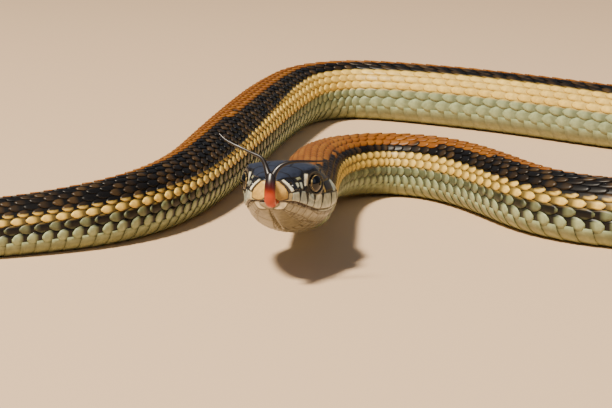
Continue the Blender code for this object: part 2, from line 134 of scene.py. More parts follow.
# Length of one belly plate, which is also the spacing of the scales along a row.
PITCH = (
    (0, 2), (22, 2.1), (82, 2.35), (142, 2.6), (222, 3.1), (322, 3.4),
    (382, 2.9), (440, 2.15), (494, 2.05), (542, 1.9), (640, 1.5),
)
# Scale rows from the middle of the back down to the row beside the belly plates, by width.
ROW_WIDTHS = (0.9, 0.9, 0.92, 0.95, 0.97, 1.0, 1.0, 1.05, 1.2, 1.6)
# The width of a row as a share of half the way round; rows run out as the tail thins.
ROW_UNIT = (
    (0, 0.0789), (480, 0.0789), (510, 0.088), (545, 0.105), (590, 0.14), (640, 0.21),
)
BELLY_EDGE = 0.79

# How deep the skin lies under the scales, and where along the neck it sinks to that.
COAT_DEPTH = 0.26
COAT_START = (15.0, 19.0)
# Where the head's shape passes into the body's.
HEAD_BLEND = (18.5, 25.0)

COLUMNS = 256
ROUTE_SAMPLES = 6000
SECTION_SAMPLES = 720
SNOUT_STATIONS = 9
SNOUT_ROUNDING = 0.28


def profile(pairs, u):
    """Values of a profile at u, by a smooth curve through its pairs."""
    pairs = np.array(pairs)
    places = pairs[:, 0]
    values = pairs[:, 1]
    u = np.clip(np.asarray(u, dtype=float), places[0], places[-1])
    slopes = np.empty(len(places))
    slopes[1:-1] = (values[2:] - values[:-2]) / (places[2:] - places[:-2])
    slopes[0] = (values[1] - values[0]) / (places[1] - places[0])
    slopes[-1] = (values[-1] - values[-2]) / (places[-1] - places[-2])
    i = np.clip(np.searchsorted(places, u) - 1, 0, len(places) - 2)
    span = places[i + 1] - places[i]
    t = (u - places[i]) / span
    result = (2 * t ** 3 - 3 * t ** 2 + 1) * values[i]
    result += (t ** 3 - 2 * t ** 2 + t) * span * slopes[i]
    result += (3 * t ** 2 - 2 * t ** 3) * values[i + 1]
    result += (t ** 3 - t ** 2) * span * slopes[i + 1]
    return result


def ramp(value, start, end):
    """A smooth step from 0 at start to 1 at end."""
    t = np.clip((np.asarray(value, dtype=float) - start) / (end - start), 0.0, 1.0)
    return t * t * (3.0 - 2.0 * t)


def unit(vectors):
    """Vectors scaled to length 1."""
    return vectors / np.maximum(np.linalg.norm(vectors, axis=-1, keepdims=True), 1e-9)


def path_length(points):
    """Length along a line of points, from 0 at the first."""
    steps = np.linalg.norm(np.diff(points, axis=0), axis=1)
    return np.concatenate([[0.0], np.cumsum(steps)])


def smooth_line(points, samples):
    """A natural cubic spline through points, sampled, with the samples' parameters and knots."""
    points = np.array(points, dtype=float)
    steps = np.linalg.norm(np.diff(points[:, :3], axis=0), axis=1) ** 0.5
    knots = np.concatenate([[0.0], np.cumsum(steps)])
    count = len(points)
    system = np.zeros((count, count))
    right = np.zeros_like(points)
    system[0, 0] = 1.0
    system[-1, -1] = 1.0
    for i in range(1, count - 1):
        before = steps[i - 1]
        after = steps[i]
        system[i, i - 1:i + 2] = (before, 2.0 * (before + after), after)
        slope_after = (points[i + 1] - points[i]) / after
        slope_before = (points[i] - points[i - 1]) / before
        right[i] = 6.0 * (slope_after - slope_before)
    bend = np.linalg.solve(system, right)
    times = np.linspace(0.0, knots[-1], samples)
    i = np.clip(np.searchsorted(knots, times) - 1, 0, count - 2)
    h = steps[i][:, None]
    a = (knots[i + 1] - times)[:, None] / h
    b = (times - knots[i])[:, None] / h
    curve = (a ** 3 - a) * bend[i] + (b ** 3 - b) * bend[i + 1]
    return a * points[i] + b * points[i + 1] + curve * h * h / 6.0, times, knots


def head_axes():
    """The head's frame as forward, left and up directions."""
    forward = np.array((
        -math.sin(HEAD_YAW) * math.cos(HEAD_PITCH),
        -math.cos(HEAD_YAW) * math.cos(HEAD_PITCH),
        math.sin(HEAD_PITCH),
    ))
    left = unit(np.cross((0.0, 0.0, 1.0), forward))
    return forward, left, np.cross(forward, left)


FORWARD, LEFT, UP = head_axes()


def head_place(points):
    """Points (u, y, z) of the head's frame, in the snake's frame."""
    points = np.asarray(points, dtype=float)
    back = (EYE_BACK - points[..., :1]) * FORWARD
    return EYE_LINE + back + points[..., 1:2] * LEFT + points[..., 2:3] * UP


def body_course():
    """Distances from the snout, with centres, directions, left sides, ups and half widths."""
    route = []
    for u in (NAPE_BACK - NAPE_LEAD, NAPE_BACK):
        route.append((*head_place((u, 0.0, NAPE_HEIGHT)), NAPE_HALF_WIDTH))
    for x, y, lift, half in ROUTE:
        route.append((x, y, lift + BELLY_DEPTH * half - BELLY_SINK, half))
    places, times, knots = smooth_line(route, ROUTE_SAMPLES)
    travelled = path_length(places[:, :3])
    travelled += NAPE_BACK - np.interp(knots[1], times, travelled)
    along = unit(np.gradient(places[:, :3], axis=0))
    share = np.clip((travelled - NAPE_BACK) / NAPE_BLEND, 0.0, 1.0)[:, None]
    along = unit(-FORWARD * (1.0 - share) + along * share)
    left = unit(np.cross(along, (0.0, 0.0, 1.0)))
    up = unit(np.cross(left, along))
    return travelled, places[:, :3], left, up, places[:, 3]


COURSE = body_course()
LENGTH = float(COURSE[0][-1])


def round_loop(points, columns):
    """A closed loop resampled to even steps from its first point."""
    closed = np.vstack([points, points[:1]])
    travelled = path_length(closed)
    wanted = np.arange(columns) / columns * travelled[-1]
    loop = [np.interp(wanted, travelled, closed[:, axis]) for axis in range(closed.shape[1])]
    return np.stack(loop, axis=1)


def soft_loop(points):
    """Points on a smooth closed curve through a ring of points."""
    before = np.roll(points, 1, axis=0)
    after = np.roll(points, -1, axis=0)
    beyond = np.roll(points, -2, axis=0)
    pieces = []
    for t in np.linspace(0.0, 1.0, 10, endpoint=False):
        curve = 2.0 * points + (after - before) * t
        curve = curve + (2.0 * before - 5.0 * points + 4.0 * after - beyond) * t * t
        curve = curve + (3.0 * points - before - 3.0 * after + beyond) * t ** 3
        pieces.append(curve / 2.0)
    return np.stack(pieces, axis=1).reshape(-1, points.shape[1])


def head_ring(u):
    """A ring of the head at u, from the crown round by the left side, in the head's frame."""
    cheek, brow, jaw = [profile(w, u) for w in (CHEEK_HALF_WIDTH, BROW_HALF_WIDTH, JAW_HALF_WIDTH)]
    crown, brow_z, lip, chin = [
        profile(height, u) for height in (CROWN_HEIGHT, BROW_HEIGHT, LIP_HEIGHT, CHIN_HEIGHT)
    ]
    side_drop = brow_z - lip
    jaw_drop = lip - chin
    half = (
        (0.0, crown),
        (0.3 * brow, crown - 0.02 * (crown - brow_z)),
        (0.62 * brow, crown - 0.18 * (crown - brow_z)),
        (0.87 * brow, crown - 0.5 * (crown - brow_z)),
        (brow, brow_z),
        (0.5 * (brow + cheek), brow_z - 0.22 * side_drop),
        (0.97 * cheek, brow_z - 0.5 * side_drop),
        (cheek, brow_z - 0.78 * side_drop),
        (0.98 * cheek, lip + 0.06 * side_drop),
        (jaw, lip - 0.16 * jaw_drop),
        (0.9 * jaw, lip - 0.4 * jaw_drop),
        (0.73 * jaw, lip - 0.66 * jaw_drop),
        (0.5 * jaw, lip - 0.86 * jaw_drop),
        (0.26 * jaw, chin + 0.03 * jaw_drop),
        (0.0, chin),
    )
    left = np.array([(u, y, z) for y, z in half], dtype=float)
    right = left[-2:0:-1] * (1.0, -1.0, 1.0)
    return round_loop(soft_loop(np.vstack([left, right])), COLUMNS)


def body_ring():
    """The body's section in parts of its half width, from the back round by the left side."""
    angle = np.linspace(0.0, 2.0 * math.pi, SECTION_SAMPLES, endpoint=False)
    across = np.sin(angle)
    height = np.cos(angle)
    low = height < 0.0
    across = np.where(low, np.sign(across) * np.abs(across) ** FLANK_FULLNESS, across)
    fallen = -np.minimum(np.abs(height) ** FLANK_FULLNESS, BELLY_DEPTH)
    height = np.where(low, fallen, height * BACK_HEIGHT)
    return round_loop(np.stack([across, height], axis=1), COLUMNS)


def surface_table():
    """Distances, points and outward directions over the whole skin."""
    travelled, centres, lefts, ups, halves = COURSE
    section = body_ring()
    turn = np.linspace(0.06, 1.0, SNOUT_STATIONS, endpoint=False) * math.pi / 2.0
    front = -SNOUT_ROUNDING * np.cos(turn)
    head = NAPE_BACK * np.linspace(0.0, 1.0, 170) ** 1.4
    body = np.arange(NAPE_BACK + 0.25, LENGTH, 0.5)
    distances = np.concatenate([front, head, body, [LENGTH]])
    rings = []
    for d in distances:
        u = max(d, 0.0)
        ring = np.zeros((COLUMNS, 3))
        share = float(ramp(d, *HEAD_BLEND))
        if share < 1.0:
            local = head_ring(u)
            if d < 0.0:
                shrink = math.sqrt(1.0 - (d / SNOUT_ROUNDING) ** 2)
                middle = local.mean(axis=0)
                local = middle + (local - middle) * shrink
                local[:, 0] = d
            ring = ring + head_place(local) * (1.0 - share)
        if share > 0.0:
            centre, left, up = [
                np.array([np.interp(d, travelled, values[:, axis]) for axis in range(3)])
                for values in (centres, lefts, ups)
            ]
            half = np.interp(d, travelled, halves)
            around = centre + half * (section[:, :1] * left + section[:, 1:] * up)
            ring = ring + around * share
        rings.append(ring)
    points = np.stack(rings)
    along = np.gradient(points, axis=0)
    round_way = np.roll(points, -1, axis=1) - np.roll(points, 1, axis=1)
    outward = unit(np.cross(round_way, along))
    return distances, points, outward


DISTANCES, SURFACE, OUTWARD = surface_table()


def wrap(d, t, height):
    """Points at d along and t round the body, raised above the outline by height."""
    d, t, height = np.broadcast_arrays(d, t, height)
    row = np.interp(d, DISTANCES, np.arange(len(DISTANCES)))
    turned = t + profile(ROLL, d) / 180.0
    column = (turned % 2.0) / 2.0 * COLUMNS
    i = np.minimum(row.astype(int), len(DISTANCES) - 2)
    j = column.astype(int) % COLUMNS
    following = (j + 1) % COLUMNS
    down = (row - i)[..., None]
    over = (column - column.astype(int))[..., None]
    total = np.zeros(d.shape + (3,))
    direction = np.zeros(d.shape + (3,))
    for ii, weight_i in ((i, 1.0 - down), (i + 1, down)):
        for jj, weight_j in ((j, 1.0 - over), (following, over)):
            total += SURFACE[ii, jj] * weight_i * weight_j
            direction += OUTWARD[ii, jj] * weight_i * weight_j
    total += unit(direction) * height[..., None]
    total[..., 2] = np.maximum(total[..., 2], 0.0)
    return total


def linear(code):
    """An sRGB hex colour as linear numbers."""
    parts = [int(code[i:i + 2], 16) / 255.0 for i in (1, 3, 5)]
    return np.array([p / 12.92 if p <= 0.04045 else ((p + 0.055) / 1.055) ** 2.4 for p in parts])


def mix(first, second, share):
    """Colours mixed by a share per point."""
    share = np.clip(np.asarray(share, dtype=float), 0.0, 1.0)[..., None]
    return first * (1.0 - share) + second * share


TRUNK_HALF_WIDTH = 5.0


def body_thickness(d):
    """Half the body's width at d, as a share of the trunk's, within what scales follow."""
    return np.clip(np.interp(d, COURSE[0], COURSE[4]) / TRUNK_HALF_WIDTH, 0.3, 1.2)


# Scales counted along the body: the count grows by one with each belly plate.
COUNT_STEP = 0.25
COUNT_D = np.arange(0.0, 660.0, COUNT_STEP)
COUNT_Q = np.concatenate([[0.0], np.cumsum(COUNT_STEP / profile(PITCH, COUNT_D[:-1]))])


def count_at(d):
    """The scale count at d."""
    return np.interp(d, COUNT_D, COUNT_Q)


def place_of(count):
    """The distance d of a scale count."""
    return np.interp(count, COUNT_Q, COUNT_D)


def row_places():
    """Distance of each row's middle from the middle of the back, in row widths."""
    places = [0.0]
    for before, after in zip(ROW_WIDTHS, ROW_WIDTHS[1:]):
        places.append(places[-1] + (before + after) / 2.0)
    return np.array(places)


ROW_PLACES = row_places()
ROWS_TOTAL = ROW_PLACES[-1] + ROW_WIDTHS[-1] / 2.0

# The colours of the living snake.
ORANGE = linear("#804910")
ORANGE_PALE = linear("#9A6620")
YELLOW = linear("#F4D068")
YELLOW_DEEP = linear("#CFA544")
BLACK = linear("#070505")
BROWN = linear("#46341C")
GREEN = linear("#A8B488")
GREEN_DEEP = linear("#68704F")
OLIVE = linear("#6E7459")
BELLY = linear("#A3A574")

# Half the width of the orange stripe along the back, in row widths.
BACK_STRIPE = (
    (0, 1.1), (24, 1.3), (32, 2), (46, 3.6), (62, 4.1), (84, 3.7),
    (100, 2.4), (120, 1.5), (142, 1.35), (200, 1.5), (235, 2.3), (370, 2.3),
    (405, 1.45), (440, 1.35), (496, 1.35), (512, 0.7), (640, 0.6),
)
# The upper edge of the yellow stripe along the side, and its lower edge, in row widths.
SIDE_STRIPE_TOP = (
    (0, 5.35), (40, 5.3), (70, 5.2), (105, 5.4), (125, 5.7), (190, 5.7),
    (230, 4.4), (330, 4.3), (370, 4.9), (400, 5.6), (430, 5.72), (640, 5.72),
)
SIDE_STRIPE_END = 7.25
# How black the checks under the yellow stripe are.
CHECKS = (
    (0, 0.3), (60, 0.55), (90, 0.6), (108, 0.9), (120, 1), (180, 1),
    (215, 0.15), (330, 0.15), (365, 0.6), (395, 1), (640, 1),
)

# A scale's length and width over its spacing, its height, how deep it is set in the skin, and
# the share of its length that lies in front of its place.
SCALE_LENGTH = 1.62
SCALE_OVERLAP = 1.2
SCALE_RISE = 0.16
SCALE_SINK = 0.09
SCALE_ROOT = 0.42
# The same for the plates of the belly, and how far they reach under the lowest scales.
PLATE_LENGTH = 1.32
PLATE_RISE = 0.12
PLATE_SINK = 0.07
PLATE_ROOT = 0.4
PLATE_REACH = 0.035
PAIR_REACH = 0.01
WALL_DEPTH = 0.62
VENT = 494.0
# Half the width of the soft edge between two colours, in row widths.
EDGE_BLUR = 0.07


def body_paint(d, row, number, share, across, luck):
    """Colours of the scales: row is the place in rows from the back, number the scale count.

    share runs from a scale's root to its free edge, across from -1 to 1 over its width, and
    luck is a draw between 0 and 1 for each scale.
    """
    place = np.abs(row)
    stripe = profile(BACK_STRIPE, d)
    pair = np.floor(number / 2.0)
    upper = np.where(place < 3.4, pair % 2, (pair + 1) % 2)
    dusk = np.clip(0.25 + 0.8 * luck - 0.7 * upper, 0.0, 1.0)
    colour = mix(BLACK, BROWN, dusk * ramp(share, 0.55, 0.75))
    orange = mix(ORANGE, ORANGE_PALE, 0.2 + 0.5 * luck - 0.4 * np.abs(across))
    wander = 0.15 * np.sin(number * 2.1)
    down = across * np.sign(row)
    middle = np.abs(place - down * SCALE_OVERLAP * 0.47)
    limit = stripe + wander + 0.25 * (luck - 0.5)
    colour = mix(colour, orange, 1.0 - ramp(middle, limit - 0.03, limit + 0.03))
    checks = profile(CHECKS, d)
    start = profile(SIDE_STRIPE_TOP, d) + 0.35 * checks * (1.0 - ramp(share, 0.6, 0.85))
    edge = ramp(np.abs(across), 0.72, 0.95)
    yellow = mix(YELLOW, YELLOW_DEEP, 0.35 * luck + 0.5 * edge)
    gap = 1.0 - ramp(share, 0.48, 0.6)
    yellow = mix(yellow, BLACK, np.maximum(gap, edge * 0.8) * (0.25 + 0.75 * checks))
    low = ramp(place, SIDE_STRIPE_END - EDGE_BLUR, SIDE_STRIPE_END + EDGE_BLUR)
    inside = ramp(place, start - EDGE_BLUR, start + EDGE_BLUR) * (1.0 - low)
    colour = mix(colour, yellow, inside)
    reach = np.where(number % 2 == 1, 0.97, 0.68) - 0.1 * luck
    black = (1.0 - ramp(share, reach - 0.07, reach + 0.05)) * checks
    drab = mix(GREEN, mix(GREEN_DEEP, BROWN, 0.35 * luck), 0.15 + 0.7 * checks)
    second = mix(drab, BLACK, np.maximum(black, 0.6 * gap))
    colour = mix(colour, second, low)
    first = mix(GREEN, GREEN_DEEP, 0.3 * luck + 0.25 * ramp(down, 0.3, 1.0))
    wedge = 1.0 - ramp(share, 0.56 + 0.1 * np.abs(across), 0.68 + 0.1 * np.abs(across))
    first = mix(first, BLACK, wedge * (0.35 + 0.65 * checks))
    lowest = ramp(place, ROW_PLACES[-1] - 0.85, ROW_PLACES[-1] - 0.7)
    return mix(colour, first, lowest)


def walled_plate(shape):
    """Give a plate its wall and its closed underside, and return its points and triangles."""
    edges = [edge for edge in shape.edges if edge.is_boundary]
    for item in bmesh.ops.extrude_edge_only(shape, edges=edges)["geom"]:
        if isinstance(item, bmesh.types.BMVert):
            item.co.z -= WALL_DEPTH
    bmesh.ops.holes_fill(shape, edges=[e for e in shape.edges if e.is_boundary], sides=0)
    bmesh.ops.triangulate(shape, faces=shape.faces)
    bmesh.ops.recalc_face_normals(shape, faces=shape.faces)
    shape.verts.ensure_lookup_table()
    points = np.array([vert.co for vert in shape.verts])
    faces = np.array([[vert.index for vert in face.verts] for face in shape.faces])
    shape.free()
    return points, faces


def scale_plate(across, along):
    """One keeled scale in a unit square: x over its width, y from root to free edge, z raised."""
    shape = bmesh.new()
    bmesh.ops.create_grid(shape, x_segments=across, y_segments=along, size=1.0)
    for vert in shape.verts:
        x = vert.co.x
        share = (vert.co.y + 1.0) / 2.0
        share = share + 0.12 * math.sin(math.pi * share)
        width = float(np.interp(
            share, (0.0, 0.3, 0.55, 0.75, 0.88, 0.96, 1.0), (0.66, 0.9, 1.0, 0.9, 0.68, 0.42, 0.2)
        ))
        rise = float(np.interp(share, (0.0, 0.4, 0.9, 1.0), (-1.0, -0.1, 0.85, 0.9)))
        edge_fall = 0.35 * abs(x) ** 2.5
        keel = 0.28 * max(0.0, 1.0 - 2.2 * abs(x)) * float(np.interp(share, (0.2, 0.7), (0.0, 1.0)))
        vert.co = (x * width, share * 2.0 - 1.0, rise - edge_fall + keel)
    return walled_plate(shape)


def belly_plate(across, along):
    """One broad belly plate in a unit square."""
    shape = bmesh.new()
    bmesh.ops.create_grid(shape, x_segments=across, y_segments=along, size=1.0)
    for vert in shape.verts:
        share = (vert.co.y + 1.0) / 2.0
        bow = 0.16 * (1.0 - vert.co.x ** 2)
        rise = float(np.interp(share, (0.0, 0.35, 0.9, 1.0), (-1.0, -0.2, 0.8, 0.85)))
        vert.co = (vert.co.x, vert.co.y + bow * share, rise)
    return walled_plate(shape)


def joined_mesh(name, points, faces, colours, bake_places):
    """One coat of many like plates, with its paint and a patch for each on the bake map."""
    copies, size = points.shape[:2]
    all_faces = (faces[None] + (np.arange(copies) * size)[:, None, None]).reshape(-1, 3)
    mesh = bpy.data.meshes.new(name)
    mesh.vertices.add(copies * size)
    mesh.vertices.foreach_set("co", (points * MM).reshape(-1))
    mesh.loops.add(all_faces.size)
    mesh.loops.foreach_set("vertex_index", all_faces.reshape(-1).astype(np.int32))
    mesh.polygons.add(len(all_faces))
    mesh.polygons.foreach_set("loop_start", np.arange(len(all_faces), dtype=np.int32) * 3)
    paint = mesh.color_attributes.new("paint", "FLOAT_COLOR", "POINT")
    rgba = np.ones((copies * size, 4))
    rgba[:, :3] = colours.reshape(-1, 3)
    paint.data.foreach_set("color", rgba.reshape(-1))
    layer = mesh.uv_layers.new(name="OFBake")
    layer.data.foreach_set("uv", bake_places.reshape(-1, 2)[all_faces.reshape(-1)].reshape(-1))
    mesh.update()
    mesh.validate()
    mesh.shade_smooth()
    mesh.materials.append(SCALE_KERATIN)
    return bpy.data.objects.new(name, mesh)


BAKE_PATCH = 0.0015
BAKE_MARGIN = 1.0


def bake_patches(d, t, local):
    """A small patch for each plate at its root's place on an unwrap of the whole skin."""
    root = np.stack([(d + BAKE_MARGIN) / (LENGTH + 2.0 * BAKE_MARGIN), 0.5 + 0.49 * t], axis=-1)
    return root[:, None, :] + local[None, :, :2] * BAKE_PATCH


def head_cover(place):
    """How far back the shields of the head reach, over the rows from the back."""
    return np.interp(place, (0.0, 3.0, 5.0, 8.0, 10.0), (16.2, 15.6, 15.4, 16.6, 17.6))


def make_scales(name, start, end):
    """The keeled scales of the back and sides whose middles lie between two places."""
    plate, faces = scale_plate(4, 5)
    counts = []
    rows = []
    lowest = len(ROW_WIDTHS) - 1
    for row in range(-lowest, lowest + 1):
        offset = 0.5 * (row % 2)
        first = math.ceil(count_at(start) - offset)
        last = math.ceil(count_at(end) - offset)
        for number in range(first, last):
            counts.append(number + offset)
            rows.append(row)
    counts = np.array(counts)
    rows = np.array(rows)
    d = place_of(counts)
    place = ROW_PLACES[np.abs(rows)]
    width = np.array(ROW_WIDTHS)[np.abs(rows)]
    kept = place < BELLY_EDGE / profile(ROW_UNIT, d) + 0.1
    kept &= d > head_cover(place)
    counts, rows, d, place, width = [v[kept] for v in (counts, rows, d, place, width)]
    luck = RNG.random(len(counts))
    share = (plate[:, 1] + 1.0) / 2.0
    point_d = place_of(counts[:, None] + (share[None, :] - SCALE_ROOT) * SCALE_LENGTH)
    across = plate[None, :, 0] * width[:, None] * SCALE_OVERLAP / 2.0
    signed = np.sign(rows)[:, None] * place[:, None] + across
    t = signed * profile(ROW_UNIT, point_d)
    thick = body_thickness(d)[:, None]
    lift = SCALE_RISE * (0.9 + 0.2 * luck[:, None])
    height = (plate[None, :, 2] * lift - SCALE_SINK) * thick
    points = wrap(point_d, t, height)
    paint = body_paint(
        point_d, t / BELLY_EDGE * ROWS_TOTAL, np.floor(counts)[:, None], share[None],
        plate[None, :, 0], luck[:, None],
    )
    t_root = np.sign(rows) * place * profile(ROW_UNIT, d)
    return joined_mesh(name, points, faces, paint, bake_patches(d, t_root, plate))


def make_belly(name, start, end, paired):
    """The plates across the belly, or in pairs under the tail."""
    plate, faces = belly_plate(6 if paired else 12, 3)
    counts = np.arange(math.ceil(count_at(start)), math.ceil(count_at(end)), dtype=float)
    half_width = 1.0 - BELLY_EDGE + PLATE_REACH
    centre = np.zeros(len(counts))
    if paired:
        counts = np.concatenate([counts, counts + 0.5])
        centre = np.concatenate([centre - half_width / 2.0, centre + half_width / 2.0])
        half_width = half_width / 2.0 + PAIR_REACH
    d = place_of(counts)
    share = (plate[:, 1] + 1.0) / 2.0
    point_d = place_of(counts[:, None] + (share[None, :] - PLATE_ROOT) * PLATE_LENGTH)
    t = 1.0 + centre[:, None] + plate[None, :, 0] * half_width
    thick = body_thickness(d)[:, None]
    height = (plate[None, :, 2] * PLATE_RISE - PLATE_SINK) * thick
    points = wrap(point_d, t, height)
    luck = RNG.random(len(counts))[:, None]
    paint = belly_paint(point_d, t, share[None], luck)
    t_root = 1.0 + centre - 2.0 * (centre > 0.0)
    return joined_mesh(name, points, faces, paint, bake_patches(d, 0.98 * t_root, plate))


def belly_paint(d, t, share, luck):
    """Colours of the belly plates: olive at their ends, pale green in the middle."""
    from_middle = np.abs(t - 1.0)
    end = ramp(from_middle, 0.1, 0.2)
    colour = mix(BELLY, mix(OLIVE, GREEN, ramp(from_middle, 0.15, 0.21) * 0.8), end * 0.85)
    colour = mix(colour, GREEN_DEEP, 0.3 * luck)
    marked = end * (1.0 - ramp(d, VENT - 10.0, VENT))
    return mix(colour, BLACK, (1.0 - ramp(share, 0.2, 0.42)) * marked * 0.9)


def skin_paint(t):
    """Colours of the skin between the scales, under the same stripes."""
    row = np.abs(t) / BELLY_EDGE * ROWS_TOTAL
    colour = mix(BLACK, YELLOW_DEEP, 0.35 * (ramp(row, 5.4, 5.6) - ramp(row, 6.9, 7.1)))
    colour = mix(colour, ORANGE, 0.3 * (1.0 - ramp(row, 1.0, 1.4)))
    return mix(colour, BELLY, 0.6 * ramp(row, ROWS_TOTAL - 0.2, ROWS_TOTAL + 0.2))


# The skin is finest on the head, where its own shape shows; the seam is under the scales.
HEAD_COLUMNS = 420
HEAD_STATIONS = 188
HEAD_CROWDING = 1.25
BODY_COLUMNS = 64
BODY_STEP = 3.0
SKIN_SEAM = 21.0
END_RING_RADIUS = 0.012


def show(item):
    """Put an object in the scene."""
    bpy.context.scene.collection.objects.link(item)


def finished_piece(name, shape, material):
    """An object of a finished shape, smooth, in its material."""
    mesh = bpy.data.meshes.new(name)
    shape.to_mesh(mesh)
    shape.free()
    mesh.shade_smooth()
    mesh.materials.append(material)
    return bpy.data.objects.new(name, mesh)


def skin_length(shape, layer, stations, columns):
    """A stretch of skin through stations, open at both ends, with its paint."""
    rows = len(stations) - 1
    made = bmesh.ops.create_grid(shape, x_segments=columns, y_segments=rows, size=1.0)
    verts = made["verts"]
    spots = np.array([vert.co[:2] for vert in verts])
    column = np.rint((spots[:, 0] + 1.0) / 2.0 * columns).astype(int)
    row = np.rint((spots[:, 1] + 1.0) / 2.0 * rows).astype(int)
    d = stations[row]
    t = column / columns * 2.0 - 1.0
    depth = COAT_DEPTH * ramp(d, *COAT_START) * body_thickness(d)
    points, colours = dress_head(d, t, wrap(d, t, -depth), skin_paint(t))
    for vert, point, colour in zip(verts, points * MM, colours):
        vert.co = point
        vert[layer] = (*colour, 1.0)
    bmesh.ops.remove_doubles(shape, verts=verts, dist=1e-7)


def end_ring(shape, d):
    """The edges of an open end of the skin, near a place along the body."""
    centre = Vector(wrap(np.full(8, d), np.arange(8) / 4.0, np.zeros(8)).mean(axis=0) * MM)
    ring = []
    for edge in shape.edges:
        if edge.is_boundary and (edge.verts[0].co - centre).length < END_RING_RADIUS:
            ring.append(edge)
    return ring


def make_skin():
    """One closed skin from the snout to the tip of the tail, finest on the head."""
    head = SKIN_SEAM * np.linspace(0.0, 1.0, HEAD_STATIONS) ** HEAD_CROWDING
    body = np.concatenate([np.arange(SKIN_SEAM + 0.6, LENGTH, BODY_STEP), [LENGTH, LENGTH + 0.3]])
    shape = bmesh.new()
    layer = shape.verts.layers.float_color.new("paint")
    skin_length(shape, layer, np.concatenate([DISTANCES[:SNOUT_STATIONS], head]), HEAD_COLUMNS)
    skin_length(shape, layer, body, BODY_COLUMNS)
    bmesh.ops.bridge_loops(shape, edges=end_ring(shape, SKIN_SEAM))
    bmesh.ops.holes_fill(shape, edges=[e for e in shape.edges if e.is_boundary], sides=0)
    bmesh.ops.recalc_face_normals(shape, faces=shape.faces)
    return finished_piece("skin", shape, SNAKE_SKIN)


def head_frame_of(points):
    """The head's (u, y, z) of points in the snake's frame."""
    offset = points - EYE_LINE
    u = EYE_BACK - offset @ FORWARD
    return np.stack([u, offset @ LEFT, offset @ UP], axis=-1)


